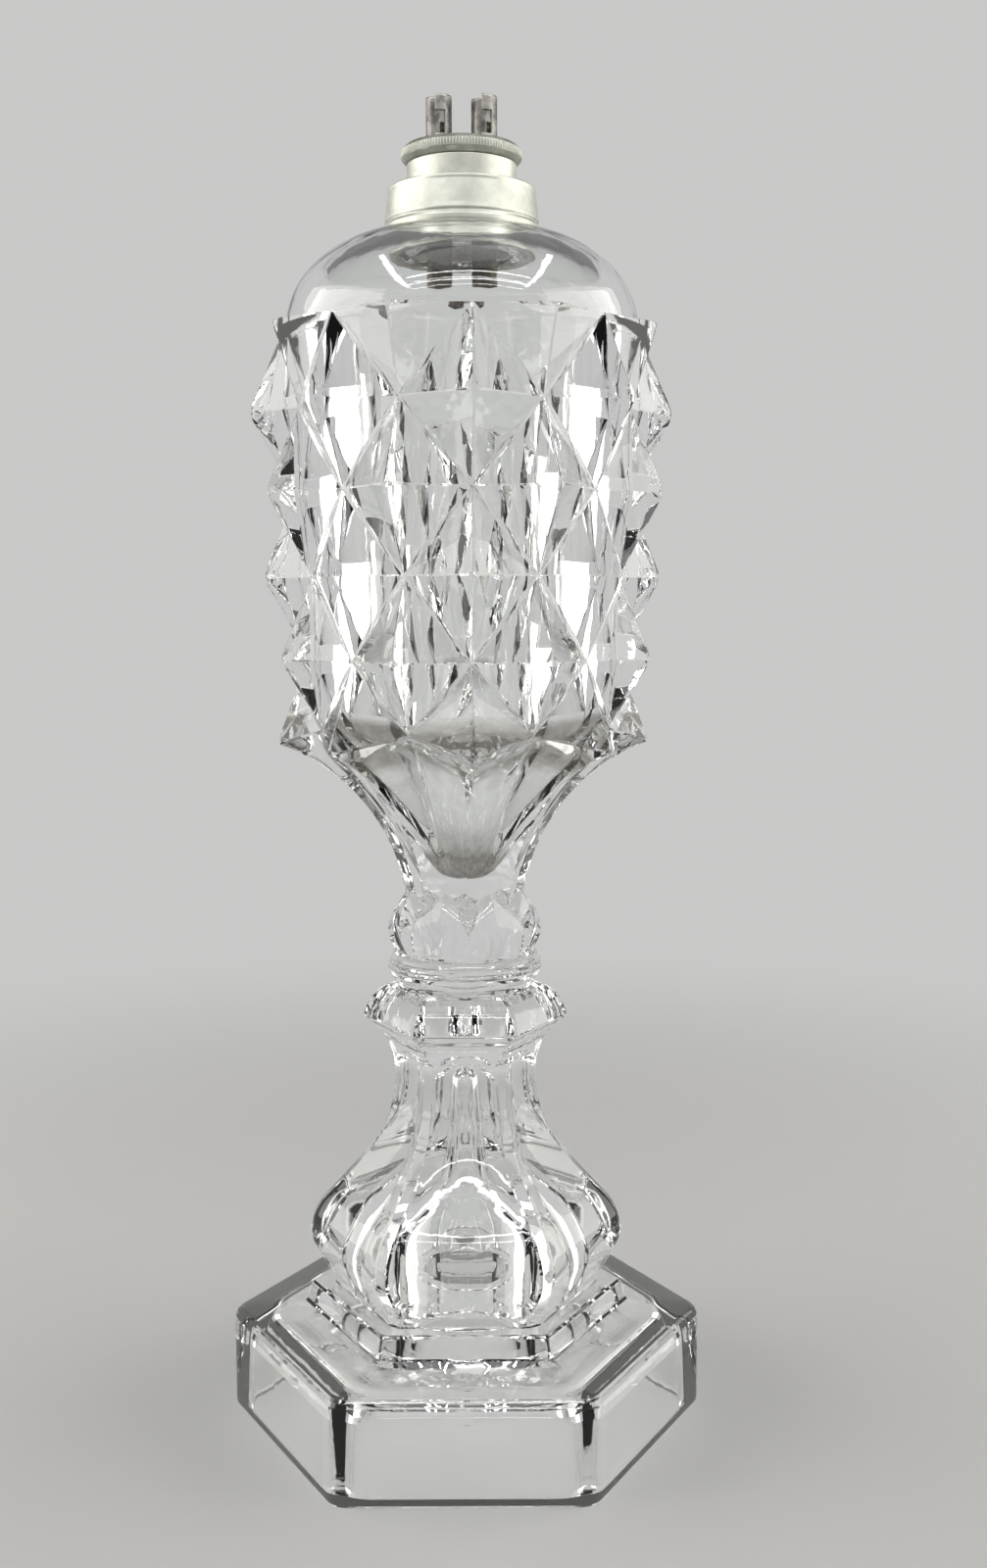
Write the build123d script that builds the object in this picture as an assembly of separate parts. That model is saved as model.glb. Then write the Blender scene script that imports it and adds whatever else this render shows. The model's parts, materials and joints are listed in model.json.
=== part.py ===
from build123d import *
import math
import os

# Whale oil lamp in clear pressed glass, with a pewter collar and a two-tube burner.
# Millimetres, +Z up, origin at the middle of the plinth's underside, front towards -Y.

# Pedestal: hexagonal plinth, step, fluted bell and moulded cap
plinth_across_flats = 92.0
plinth_height = 22.6
plinth_corner_radius = 4.5
plinth_edge_radius = 1.6
plinth_wall = 6.2
plinth_roof = 5.1
plinth_top_rise = 1.6
plinth_top_inset = 0.5
plinth_cavity_corner = 8.0
plinth_cavity_draft = 1.5
step_across_flats = 62.8
step_draft = 0.7
step_skirt = 0.5
step_height = 4.6
step_edge_radius = 1.3
step_corner_radius = 2.0
bell_foot_height = 2.7
bell_foot_radius = 30.4
bell_foot_draft = 1.0
bell_belly_radius = 34.7
bell_belly_rise = 12.2
bell_shoulder_radius = 22.8
bell_shoulder_rise = 29.5
bell_throat_radius = 16.4
bell_throat_rise = 41.2
neck_radius = 15.8
neck_rise = 50.0
neck_flare_radius = 17.8
neck_flare_drop = 2.2
rib_width = 3.0
flute_depth = 1.9
flute_end_margin = 1.6
flute_lean = 2.5
flute_fullness = 0.8
least_hollow = 0.05
bell_steps = 16
cap_lip_radius = 20.4
cap_lip_rise = 58.8
cap_rim_radius = 22.5
cap_rim_rise = 2.2
cap_height = 7.4
cap_top_radius = 15.4
cap_edge_width = 0.9
cap_steps = 5
core_mouth_radius = 19.0
core_mouth_overlap = 1.0
core_belly_radius = 18.3
core_belly_rise = 2.2
core_shoulder_radius = 15.0
core_shoulder_rise = 12.6
core_waist_radius = 7.6
core_waist_rise = 19.8
core_stem_radius = 5.1
core_stem_rise = 37.0
core_neck_radius = 4.2
core_top_margin = 17.0

# Wafer of glass that joins the two halves
wafer_neck_radius = 15.0
wafer_neck_height = 1.6
wafer_ring_radius = 16.85
wafer_height = 7.3
wafer_neck_draft = 0.3
wafer_bead_rise = 2.2
wafer_groove_rise = 3.5
wafer_groove_depth = 0.35
wafer_upper_bead_inset = 0.1
wafer_upper_bead_rise = 4.3
wafer_shoulder_depth = 1.4

# Font: knop, fluted taper, diamond-point body, dome and neck
font_turn = 3.6
columns = 8
knop_height = 12.2
knop_scallop = 2.4
knop_scallop_depth = 0.4
knop_belly_radius = 16.95
knop_belly_rise = 5.1
knop_foot_radius = 14.8
knop_neck_radius = 12.85
taper_height = 33.9
taper_middle_radius = 22.0
taper_middle_rise = 20.9
taper_crease_radius = 19.3
lowest_valley_lift = 3.9
lattice_height = 87.5
lattice_rows = 6
row_pitch = 17.25
crown_radius = 42.7
widest_point_radius = 45.7
lowest_point_radius = 40.8
top_valley_radius = 38.1
lowest_valley_radius = 32.6
dome_base_radius = 37.3
dome_height = 20.2
dome_flat_radius = 12.0
shoulder_land_width = 0.5
shoulder_land_drop = 0.3
glass_neck_radius = 13.6
glass_neck_height = 7.9
glass_neck_bore = 10.9
root_overlap = 1.0
dome_wall = 3.2
lattice_wall = 4.0
taper_wall = 4.6
reservoir_floor_rise = 6.0
reservoir_floor_radius = 6.0
reservoir_floor_bowl = 4.2
reservoir_bend_rise = 3.0
reservoir_waist_rise = 1.0

# Pewter collar and its plaster bed
collar_height = 14.3
collar_foot_radius = 16.4
collar_band_radius = 15.65
collar_band_height = 9.3
collar_bead_height = 2.0
collar_bead_depth = 0.3
collar_top_radius = 11.65
collar_bore = 10.1
collar_wall = 1.0
collar_edge_radius = 0.6
collar_foot_bevel = 0.2
collar_bead_bevel = 0.4
collar_band_foot_inset = 0.05
plaster_clearance = 0.1

# Burner: pewter cap, two tin wick tubes and their cotton wicks
burner_cap_radius = 12.8
burner_rim_height = 1.6
burner_undercut = 1.1
burner_crown_rise = 0.8
burner_crown_edge = 0.7
burner_rim_bevel = 0.25
plug_clearance = 0.06
plug_length = 7.0
plug_wall = 1.4
plug_roof = 1.6
plug_lead = 0.4
seat_clearance = 0.05
tube_radius = 2.73
tube_wall = 0.35
tube_spacing = 9.5
tube_height = 10.6
tube_length = 37.9
tube_fit = 0.03
pick_slot_width = 2.3
pick_slot_height = 4.9
pick_slot_drop = 3.1
pick_slot_back = 1.0
solder_size = 0.7
vent_radius = 0.7
vent_offset = 6.4
wick_clearance = 0.18
wick_recess = 1.2
wick_chamfer = 0.3

# Heights that follow from the sizes above
step_foot_z = plinth_height + plinth_top_rise
step_top_z = step_foot_z + step_height
bell_foot_z = step_top_z + bell_foot_height
cap_lip_z = step_top_z + cap_lip_rise
cap_rim_z = cap_lip_z + cap_rim_rise
neck_flare_z = cap_lip_z - neck_flare_drop
flute_top_z = neck_flare_z - flute_end_margin
pedestal_top_z = cap_rim_z + cap_height
wafer_top_z = pedestal_top_z + wafer_height
knop_top_z = wafer_top_z + knop_height
lowest_point_z = knop_top_z + taper_height
crown_z = lowest_point_z + lattice_height
reservoir_floor_z = knop_top_z + reservoir_floor_rise
dome_top_z = crown_z + dome_height
collar_foot_z = dome_top_z - shoulder_land_drop
collar_ledge_z = collar_foot_z + collar_band_height
collar_top_z = collar_foot_z + collar_height
burner_seat_z = collar_top_z + seat_clearance
burner_rim_z = burner_seat_z + burner_undercut
burner_crown_z = burner_rim_z + burner_rim_height + burner_crown_edge
tube_top_z = burner_crown_z + tube_height
tube_foot_z = tube_top_z - tube_length
wick_top_z = tube_top_z - wick_recess
plug_radius = collar_bore - plug_clearance
plug_foot_z = burner_seat_z - plug_length
plug_roof_z = burner_seat_z - plug_roof
tube_bore = tube_radius - tube_wall


def place(angle, radius, height):
    """A point at an angle from the front, turning towards +X."""
    turn = math.radians(angle)
    return Vector(radius * math.sin(turn), -radius * math.cos(turn), height)


def hexagon_plate(across_flats, height, corner_radius=0.0):
    """A level hexagonal face with flats to the front and back."""
    outline = RegularPolygon(across_flats / 2, 6, major_radius=False, rotation=0)
    if corner_radius > 0:
        outline = fillet(outline.vertices(), corner_radius)
    return Pos(0, 0, height) * outline


def ribbed_section(rib_radius, height, width):
    """A hexagon whose corners are cut to flat ribs of the given width."""
    half_turn = math.atan(width / 2 / rib_radius)
    reach = math.hypot(rib_radius, width / 2)
    points = []
    for corner in range(6):
        middle = math.radians(60 * corner)
        for side in (-half_turn, half_turn):
            points.append((reach * math.cos(middle + side), reach * math.sin(middle + side)))
    return Pos(0, 0, height) * make_face(Polyline(*points, close=True))


def revolved(profile):
    """A solid turned about the lamp's axis from a closed line in the XZ plane."""
    return revolve(make_face(Plane.XZ * profile), Axis.Z)


# The rib line runs up the corners of the bell and through the neck to the cap
rib_line = Spline(
    (bell_foot_radius, bell_foot_z),
    (bell_belly_radius, step_top_z + bell_belly_rise),
    (bell_shoulder_radius, step_top_z + bell_shoulder_rise),
    (bell_throat_radius, step_top_z + bell_throat_rise),
    (neck_radius, step_top_z + neck_rise),
    (neck_flare_radius, neck_flare_z),
    tangents=[(1, 1.6), (0.8, 1)],
)


def flute_hollow(height):
    """How deep the flutes lie at a height: flat in the belly, deepest below their arched tops."""
    rise = (height - bell_foot_z) / (flute_top_z - bell_foot_z)
    if rise <= 0 or rise >= 1:
        return 0.0
    return flute_depth * math.sin(math.pi * rise ** flute_lean) ** flute_fullness


def bell_section(share):
    """One level outline of the bell: six flat ribs with a scooped flute between them."""
    point = rib_line @ share
    half_turn = math.atan(rib_width / 2 / point.X)
    reach = math.hypot(point.X, rib_width / 2)
    middle = reach * math.cos(math.pi / 6 - half_turn) - max(flute_hollow(point.Y), least_hollow)
    edges = []
    for corner in range(6):
        turn = math.radians(60 * corner)
        ends = []
        for angle in (turn - half_turn, turn + half_turn, turn + math.pi / 3 - half_turn):
            ends.append((reach * math.cos(angle), reach * math.sin(angle)))
        half_way = turn + math.pi / 6
        scoop = (middle * math.cos(half_way), middle * math.sin(half_way))
        edges.append(Line(ends[0], ends[1]))
        edges.append(ThreePointArc(ends[1], scoop, ends[2]))
    return Pos(0, 0, point.Y) * make_face(edges)


def core_line():
    """Half outline of the shouldered hollow that the plunger leaves in the pedestal."""
    mouth_z = plinth_height - plinth_roof - core_mouth_overlap
    end_z = pedestal_top_z - core_top_margin
    wall = Spline(
        (core_mouth_radius, mouth_z),
        (core_belly_radius, step_top_z + core_belly_rise),
        (core_shoulder_radius, step_top_z + core_shoulder_rise),
        (core_waist_radius, step_top_z + core_waist_rise),
        (core_stem_radius, step_top_z + core_stem_rise),
        (core_neck_radius, end_z - core_neck_radius),
        tangents=[(0, 1), (0, 1)],
    )
    tip = wall + JernArc(wall @ 1, (0, 1), core_neck_radius, 90)
    return tip + Polyline(tip @ 1, (0, mouth_z), (core_mouth_radius, mouth_z))


def make_pedestal():
    plinth = extrude(hexagon_plate(plinth_across_flats, 0, plinth_corner_radius), plinth_height)
    top_edges = plinth.faces().sort_by(Axis.Z)[-1].edges()
    plinth = fillet(top_edges, plinth_edge_radius)
    slope_flats = plinth_across_flats - 2 * (plinth_edge_radius + plinth_top_inset)
    slope_foot = hexagon_plate(slope_flats, plinth_height, plinth_corner_radius)
    slope_head = hexagon_plate(step_across_flats + 2 * step_skirt, step_foot_z, step_corner_radius)
    slope = loft([slope_foot, slope_head])
    riser_foot = hexagon_plate(step_across_flats, plinth_height, step_corner_radius)
    riser_head = hexagon_plate(step_across_flats - 2 * step_draft, step_top_z, step_corner_radius)
    step = loft([riser_foot, riser_head])
    step = fillet(step.faces().sort_by(Axis.Z)[-1].edges(), step_edge_radius)
    foot = loft([
        ribbed_section(bell_foot_radius - bell_foot_draft, plinth_height, rib_width),
        ribbed_section(bell_foot_radius, bell_foot_z, rib_width),
    ])
    bell = loft([bell_section(index / bell_steps) for index in range(bell_steps + 1)])
    flare = loft([
        ribbed_section(neck_flare_radius, neck_flare_z, rib_width),
        ribbed_section(cap_lip_radius, cap_lip_z, rib_width),
    ])
    lip = loft([
        ribbed_section(cap_lip_radius, cap_lip_z, rib_width),
        ribbed_section(cap_rim_radius, cap_rim_z, cap_edge_width),
    ])
    cap_line = EllipticalCenterArc(
        (cap_top_radius, cap_rim_z),
        cap_rim_radius - cap_top_radius,
        cap_height,
        start_angle=0,
        arc_size=90,
    )
    cap_points = [cap_line @ (index / cap_steps) for index in range(cap_steps + 1)]
    cap = loft([ribbed_section(point.X, point.Y, cap_edge_width) for point in cap_points])
    body = plinth + slope + step + foot + bell + flare + lip + cap
    cavity_flats = plinth_across_flats - 2 * plinth_wall
    ceiling_flats = cavity_flats - 2 * plinth_cavity_draft
    cavity = loft([
        hexagon_plate(cavity_flats, 0, plinth_cavity_corner),
        hexagon_plate(ceiling_flats, plinth_height - plinth_roof, plinth_cavity_corner),
    ])
    return body - cavity - revolved(core_line())


def make_wafer():
    ring_foot_z = pedestal_top_z + wafer_neck_height
    groove = (wafer_ring_radius - wafer_groove_depth, ring_foot_z + wafer_groove_rise)
    waist_foot = (wafer_neck_radius - wafer_neck_draft, pedestal_top_z)
    neck = Polyline((0, wafer_top_z), (0, pedestal_top_z), waist_foot)
    waist = Polyline(neck @ 1, (wafer_neck_radius, ring_foot_z))
    lower_bead = ThreePointArc(
        waist @ 1,
        (wafer_ring_radius, ring_foot_z + wafer_bead_rise),
        groove,
    )
    upper_bead = ThreePointArc(
        lower_bead @ 1,
        (wafer_ring_radius - wafer_upper_bead_inset, ring_foot_z + wafer_upper_bead_rise),
        (wafer_ring_radius - wafer_shoulder_depth, wafer_top_z),
    )
    lid = Line(upper_bead @ 1, neck @ 0)
    return revolved(neck + waist + lower_bead + upper_bead + lid)


def lattice_vertex(column, row):
    """A point or a valley of the diamond pattern, columns counted in half steps."""
    is_point = (column + row) % 2 == 1
    last = lattice_rows - 1
    height = crown_z - row * row_pitch
    if row == last:
        height = lowest_point_z if is_point else lowest_point_z + lowest_valley_lift
    if not is_point:
        radius = top_valley_radius + (lowest_valley_radius - top_valley_radius) * row / last
    elif row == 0:
        radius = crown_radius
    else:
        part = (row - 1) / (last - 1)
        radius = widest_point_radius + (lowest_point_radius - widest_point_radius) * part
    return place(column * 180 / columns, radius, height)


def diamond_faces():
    """Four-sided pyramids, two triangles to each cell, folded along the valleys."""
    faces = []
    for row in range(lattice_rows - 1):
        for column in range(2 * columns):
            top = [lattice_vertex(column, row), lattice_vertex(column + 1, row)]
            low = [lattice_vertex(column, row + 1), lattice_vertex(column + 1, row + 1)]
            if (column + row) % 2 == 0:
                triangles = [(top[0], low[1], top[1]), (top[0], low[0], low[1])]
            else:
                triangles = [(top[1], low[0], top[0]), (top[1], low[1], low[0])]
            for corners in triangles:
                faces.append(Face(Wire.make_polygon(list(corners), close=True)))
    return faces


def taper_line(column):
    """A ridge or a crease of the taper, from the lattice down to the knop."""
    angle = column * 180 / columns
    start = lattice_vertex(column, lattice_rows - 1)
    middle_z = knop_top_z + taper_middle_rise
    if (column + lattice_rows - 1) % 2 == 1:
        middle = place(angle, taper_middle_radius, middle_z)
    else:
        middle = place(angle, taper_crease_radius, middle_z)
    return Edge.make_three_point_arc(start, middle, knop_head(column))


def knop_head(column):
    """The top of the knop, lower at its edges than between them."""
    angle = column * 180 / columns
    if column % 2 == 0:
        return place(angle, knop_neck_radius, knop_top_z)
    return place(angle, knop_neck_radius - knop_scallop_depth, knop_top_z + knop_scallop)


def knop_line(column):
    """The bulging outline of the knop, at an edge or half way along a panel."""
    angle = column * 180 / columns
    flat = 1 if column % 2 == 0 else math.cos(math.radians(180 / columns))
    belly = place(angle, knop_belly_radius * flat, wafer_top_z + knop_belly_rise)
    foot = place(angle, knop_foot_radius * flat, wafer_top_z)
    return Edge.make_three_point_arc(knop_head(column), belly, foot)


def font_shell():
    """The closed skin of the font below its dome."""
    faces = diamond_faces()
    around = range(2 * columns)
    tapers = [taper_line(column) for column in around]
    knops = [knop_line(column) for column in around]
    for column in around:
        after = (column + 1) % (2 * columns)
        faces.append(Face.make_surface_from_curves(tapers[column], tapers[after]))
        faces.append(Face.make_surface_from_curves(knops[column], knops[after]))
    crown = [lattice_vertex(column, 0) for column in around]
    foot = [knop_line(column) @ 1 for column in around]
    faces.append(Face(Wire.make_polygon(crown, close=True)))
    faces.append(Face(Wire.make_polygon(foot, close=True)))
    sewn = Face.sew_faces(faces)
    return Solid(Shell(sewn[0]))


def dome_line(inset=0.0):
    """Quarter ellipse from the crown up to the flat of the shoulder."""
    return EllipticalCenterArc(
        (dome_flat_radius, crown_z),
        dome_base_radius - inset - dome_flat_radius,
        dome_height - inset,
        start_angle=0,
        arc_size=90,
    )


def make_dome():
    wall = dome_line()
    root_z = crown_z - root_overlap
    root = Polyline((0, root_z), (dome_base_radius, root_z), (dome_base_radius, crown_z))
    lid = Polyline(wall @ 1, (0, dome_top_z), (0, root_z))
    dome = revolved(root + wall + lid)
    land_radius = collar_foot_radius + shoulder_land_width
    land_cut = Pos(0, 0, collar_foot_z) * Cylinder(
        land_radius, dome_height, align=(Align.CENTER, Align.CENTER, Align.MIN)
    )
    neck = Pos(0, 0, crown_z) * Cylinder(
        glass_neck_radius,
        collar_foot_z - crown_z + glass_neck_height,
        align=(Align.CENTER, Align.CENTER, Align.MIN),
    )
    return dome - land_cut + neck


def reservoir():
    """The smooth hollow that holds the oil, up through the neck."""
    ceiling = dome_line(dome_wall)
    neck_top_z = collar_foot_z + glass_neck_height + root_overlap
    wall_foot_z = lowest_point_z + lowest_valley_lift + reservoir_bend_rise
    side = Line(ceiling @ 0, (lowest_valley_radius - lattice_wall, wall_foot_z))
    bottom = Spline(
        side @ 1,
        (taper_crease_radius - taper_wall, knop_top_z + taper_middle_rise + reservoir_waist_rise),
        (reservoir_floor_radius, reservoir_floor_z + reservoir_floor_bowl),
        (0, reservoir_floor_z),
        tangents=[side % 1, (-1, 0)],
    )
    mouth = Polyline(
        (0, reservoir_floor_z),
        (0, neck_top_z),
        (glass_neck_bore, neck_top_z),
        (glass_neck_bore, dome_top_z - dome_wall),
        ceiling @ 1,
    )
    return revolved(mouth + ceiling + side + bottom)


def make_font():
    body = font_shell() + make_dome()
    return Rot(0, 0, font_turn) * (body - reservoir())


def make_collar():
    bead_z = collar_foot_z + collar_bead_height
    inner = collar_band_radius - collar_wall
    outline = Polyline(
        (inner, collar_foot_z),
        (collar_foot_radius - collar_foot_bevel, collar_foot_z),
        (collar_foot_radius, collar_foot_z + collar_bead_bevel),
        (collar_foot_radius, bead_z - collar_bead_bevel),
        (collar_foot_radius - collar_bead_depth, bead_z),
        (collar_foot_radius - collar_band_foot_inset, bead_z + collar_bead_bevel),
        (collar_band_radius, collar_ledge_z),
        (collar_top_radius, collar_ledge_z),
        (collar_top_radius, collar_top_z),
        (collar_bore, collar_top_z),
        (collar_bore, collar_ledge_z - collar_wall),
        (inner, collar_ledge_z - collar_wall),
        close=True,
    )
    collar = revolved(outline)
    ledge_rim = collar.edges().filter_by(GeomType.CIRCLE)
    ledge_rim = ledge_rim.filter_by(lambda edge: math.isclose(edge.radius, collar_band_radius))
    return fillet(ledge_rim, collar_edge_radius)


def make_plaster():
    height = collar_band_height - collar_wall - plaster_clearance
    outer = collar_band_radius - collar_wall - plaster_clearance
    ring = Circle(outer) - Circle(glass_neck_radius + plaster_clearance)
    return extrude(Pos(0, 0, collar_foot_z) * ring, height)


def tube_centres():
    return [(-tube_spacing / 2, 0), (tube_spacing / 2, 0)]


def make_burner_cap():
    rim_top_z = burner_rim_z + burner_rim_height
    crown_radius_at_edge = burner_cap_radius - burner_crown_edge
    sphere = (crown_radius_at_edge ** 2 + burner_crown_rise ** 2) / (2 * burner_crown_rise)
    sphere_z = burner_crown_z + burner_crown_rise - sphere
    lean = math.degrees(math.asin(crown_radius_at_edge / sphere))
    crown = CenterArc((0, sphere_z), sphere, 90 - lean, lean)
    outline = Polyline(
        (0, burner_crown_z + burner_crown_rise),
        (0, plug_roof_z),
        (plug_radius - plug_wall, plug_roof_z),
        (plug_radius - plug_wall, plug_foot_z),
        (plug_radius - plug_lead, plug_foot_z),
        (plug_radius, plug_foot_z + plug_lead),
        (plug_radius, burner_seat_z),
        (collar_top_radius, burner_seat_z),
        (burner_cap_radius - burner_rim_bevel, burner_rim_z),
        (burner_cap_radius, burner_rim_z + burner_rim_bevel),
        (burner_cap_radius, rim_top_z - burner_rim_bevel),
        (burner_cap_radius - burner_rim_bevel, rim_top_z),
        (crown_radius_at_edge, burner_crown_z),
    )
    cap = revolved(outline + crown)
    hole_depth = 2 * (burner_crown_z + burner_crown_rise - plug_roof_z)
    for x, y in tube_centres():
        cap -= Pos(x, y, burner_seat_z) * Cylinder(tube_radius + tube_fit, hole_depth)
    return cap - Pos(0, vent_offset, burner_seat_z) * Cylinder(vent_radius, hole_depth)


def make_tube(x, y):
    """A rolled tin tube with a slot in its front for the wick pick."""
    ring = Circle(tube_radius) - Circle(tube_bore)
    tube = extrude(Pos(x, y, tube_foot_z) * ring, tube_length)
    slot_z = tube_top_z - pick_slot_drop - pick_slot_height / 2
    slot_reach = 2 * (tube_radius - pick_slot_back)
    slot = Pos(x, y - tube_radius, slot_z) * Box(pick_slot_width, slot_reach, pick_slot_height)
    return tube - slot


def make_solder(x, y):
    """The fillet of solder that holds a tube under the roof of the burner cap."""
    section = Polyline(
        (tube_radius, plug_roof_z),
        (tube_radius + solder_size, plug_roof_z),
        (tube_radius, plug_roof_z - solder_size),
        close=True,
    )
    return Pos(x, y, 0) * revolved(section)


def make_wick(x, y):
    """A round cotton wick that stops just inside the top of its tube."""
    radius = tube_bore - wick_clearance
    length = wick_top_z - tube_foot_z
    wick = Cylinder(radius, length)
    wick = chamfer(wick.edges(), wick_chamfer)
    return Pos(x, y, (wick_top_z + tube_foot_z) / 2) * wick


def make_parts():
    parts = {
        "pedestal": make_pedestal(),
        "joining_wafer": make_wafer(),
        "font": make_font(),
        "collar": make_collar(),
        "collar_plaster": make_plaster(),
        "burner_cap": make_burner_cap(),
    }
    for side, (x, y) in zip(("left", "right"), tube_centres()):
        parts["wick_tube_" + side] = make_tube(x, y)
        parts["tube_solder_" + side] = make_solder(x, y)
        parts["wick_" + side] = make_wick(x, y)
    return parts


os.makedirs("parts", exist_ok=True)
for name, part in make_parts().items():
    export_step(part, "parts/" + name + ".step")
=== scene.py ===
import bpy
import bmesh
import json
import math
from mathutils import Vector, Matrix

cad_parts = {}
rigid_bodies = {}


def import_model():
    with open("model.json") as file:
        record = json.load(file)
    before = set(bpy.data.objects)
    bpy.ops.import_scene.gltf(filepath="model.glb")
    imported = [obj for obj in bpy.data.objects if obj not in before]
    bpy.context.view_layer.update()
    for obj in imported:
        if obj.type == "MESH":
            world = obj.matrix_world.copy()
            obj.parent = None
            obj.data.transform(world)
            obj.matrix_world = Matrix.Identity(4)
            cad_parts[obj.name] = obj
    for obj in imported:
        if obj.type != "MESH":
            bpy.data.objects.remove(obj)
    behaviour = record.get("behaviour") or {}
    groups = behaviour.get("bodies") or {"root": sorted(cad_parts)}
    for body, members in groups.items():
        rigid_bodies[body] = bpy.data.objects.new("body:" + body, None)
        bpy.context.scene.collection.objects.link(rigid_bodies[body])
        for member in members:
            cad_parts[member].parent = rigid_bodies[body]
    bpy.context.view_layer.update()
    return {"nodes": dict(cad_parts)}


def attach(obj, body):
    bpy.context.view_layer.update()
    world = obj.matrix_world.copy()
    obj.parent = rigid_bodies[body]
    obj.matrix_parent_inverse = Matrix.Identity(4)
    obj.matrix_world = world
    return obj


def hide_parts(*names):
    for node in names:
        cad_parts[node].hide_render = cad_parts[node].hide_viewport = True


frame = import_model()

# Sizes of the lamp in millimetres; everything is built in metres
MM = 0.001
PLINTH_FLATS = 92.0
PLINTH_HEIGHT = 22.6
PLINTH_WALL = 6.2
CAVITY_CORNER = 8.0
PLINTH_ROOF = 5.1
STEP_FLATS = 62.8
STEP_FOOT = 24.2
STEP_TOP = 28.8
BELL_FOOT = 31.5
RIB_WIDTH = 3.0
FLUTE_TOP = 82.9
ARCH_RISE = 3.6
ARCH_SOFT = 1.0
WAFER_TOP = 104.5
KNOP_TOP = 116.7
CROWN = 238.1
TUBE_TOP = 286.35
TUBE_FOOT = 248.45
WICK_TOP = 285.15

# The diamond pattern
COLUMNS = 8
LATTICE_ROWS = 5
ROW_PITCH = 17.25
LATTICE_HEIGHT = 87.5
VALLEY_LIFT = 3.9
FONT_TURN = 3.6
TOP_VALLEY = 38.1
LOW_VALLEY = 32.6
WIDEST_POINT = 45.7
LOWEST_POINT = 40.8
CROWN_POINT = 42.7

AROUND = 144
SIDE_STEPS = (0, 0.05, 0.15, 0.32, 0.5, 0.68, 0.85, 0.95, 1)


def smooth(value):
    value = min(max(value, 0.0), 1.0)
    return value * value * (3 - 2 * value)


def curve_points(knots, count):
    """Points along a smooth line through knots, evenly spread by knot number."""
    result = []
    last = len(knots) - 1
    for index in range(count):
        at = last * index / (count - 1)
        k = min(int(at), last - 1)
        t = at - k
        p0, p1, p2, p3 = (Vector(knots[min(max(k + step, 0), last)]) for step in (-1, 0, 1, 2))
        result.append(0.5 * (2 * p1 + (p2 - p0) * t + (2 * p0 - 5 * p1 + 4 * p2 - p3) * t ** 2
                             + (3 * p1 - p0 - 3 * p2 + p3) * t ** 3))
    return result


def arc_points(start, middle, end, count):
    """Evenly spaced points on the circle through three points of a plane."""
    (ax, ay), (bx, by), (cx, cy) = start, middle, end
    d = 2 * (ax * (by - cy) + bx * (cy - ay) + cx * (ay - by))
    if abs(d) < 1e-9:
        return [(ax + (cx - ax) * i / (count - 1), ay + (cy - ay) * i / (count - 1)) for i in range(count)]
    a2, b2, c2 = ax * ax + ay * ay, bx * bx + by * by, cx * cx + cy * cy
    ux = (a2 * (by - cy) + b2 * (cy - ay) + c2 * (ay - by)) / d
    uy = (a2 * (cx - bx) + b2 * (ax - cx) + c2 * (bx - ax)) / d
    radius = math.hypot(ax - ux, ay - uy)
    first = math.atan2(ay - uy, ax - ux)
    turn_end = math.atan2(cy - uy, cx - ux) - first
    turn_mid = math.atan2(by - uy, bx - ux) - first
    turn_end %= 2 * math.pi
    turn_mid %= 2 * math.pi
    if turn_mid > turn_end:
        turn_end -= 2 * math.pi
    return [(ux + radius * math.cos(first + turn_end * i / (count - 1)),
             uy + radius * math.sin(first + turn_end * i / (count - 1))) for i in range(count)]


def place(angle, radius, height):
    """A point at an angle from the front, turning towards +X, angles in degrees."""
    turn = math.radians(angle)
    return (radius * math.sin(turn), -radius * math.cos(turn), height)


# Node trees

class TreeBuilder:
    """A geometry node tree with named inputs, built by short calls."""

    def __init__(self, name, inputs, outputs=()):
        self.tree = bpy.data.node_groups.new(name, "GeometryNodeTree")
        for label, kind, value in inputs:
            socket = self.tree.interface.new_socket(label, in_out="INPUT", socket_type="NodeSocket" + kind)
            if value is not None:
                socket.default_value = value
        for label, kind in outputs:
            self.tree.interface.new_socket(label, in_out="OUTPUT", socket_type="NodeSocket" + kind)
        self.start = self.tree.nodes.new("NodeGroupInput")
        self.end = self.tree.nodes.new("NodeGroupOutput")

    def into(self, label):
        return self.start.outputs[label]

    def feed(self, socket, value):
        if isinstance(value, bpy.types.NodeSocket):
            self.tree.links.new(value, socket)
        elif value is not None:
            socket.default_value = value

    def node(self, kind, settings=None, **values):
        node = self.tree.nodes.new(kind)
        for key, value in (settings or {}).items():
            setattr(node, key, value)
        for key, value in values.items():
            self.feed(node.inputs[key.replace("_", " ")], value)
        return node

    def math(self, operation, first, second=None):
        node = self.tree.nodes.new("ShaderNodeMath")
        node.operation = operation
        self.feed(node.inputs[0], first)
        self.feed(node.inputs[1], second)
        return node.outputs[0]

    def vector(self, operation, first, second=None):
        node = self.tree.nodes.new("ShaderNodeVectorMath")
        node.operation = operation
        self.feed(node.inputs[0], first)
        self.feed(node.inputs["Scale" if operation == "SCALE" else 1], second)
        return node.outputs[0]

    def xyz(self, x=0.0, y=0.0, z=0.0):
        return self.node("ShaderNodeCombineXYZ", X=x, Y=y, Z=z).outputs[0]

    def group(self, builder, *values):
        node = self.tree.nodes.new("GeometryNodeGroup")
        node.node_tree = builder.tree
        for socket, value in zip(node.inputs, values):
            self.feed(socket, value)
        return node.outputs[0]

    def result(self, geometry, material):
        """Real meshes with their material, as every tree here ends."""
        real = self.node("GeometryNodeRealizeInstances", Geometry=geometry)
        named = self.node("GeometryNodeSetMaterial", Geometry=real.outputs[0], Material=material)
        self.feed(self.end.inputs[0], named.outputs[0])


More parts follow.
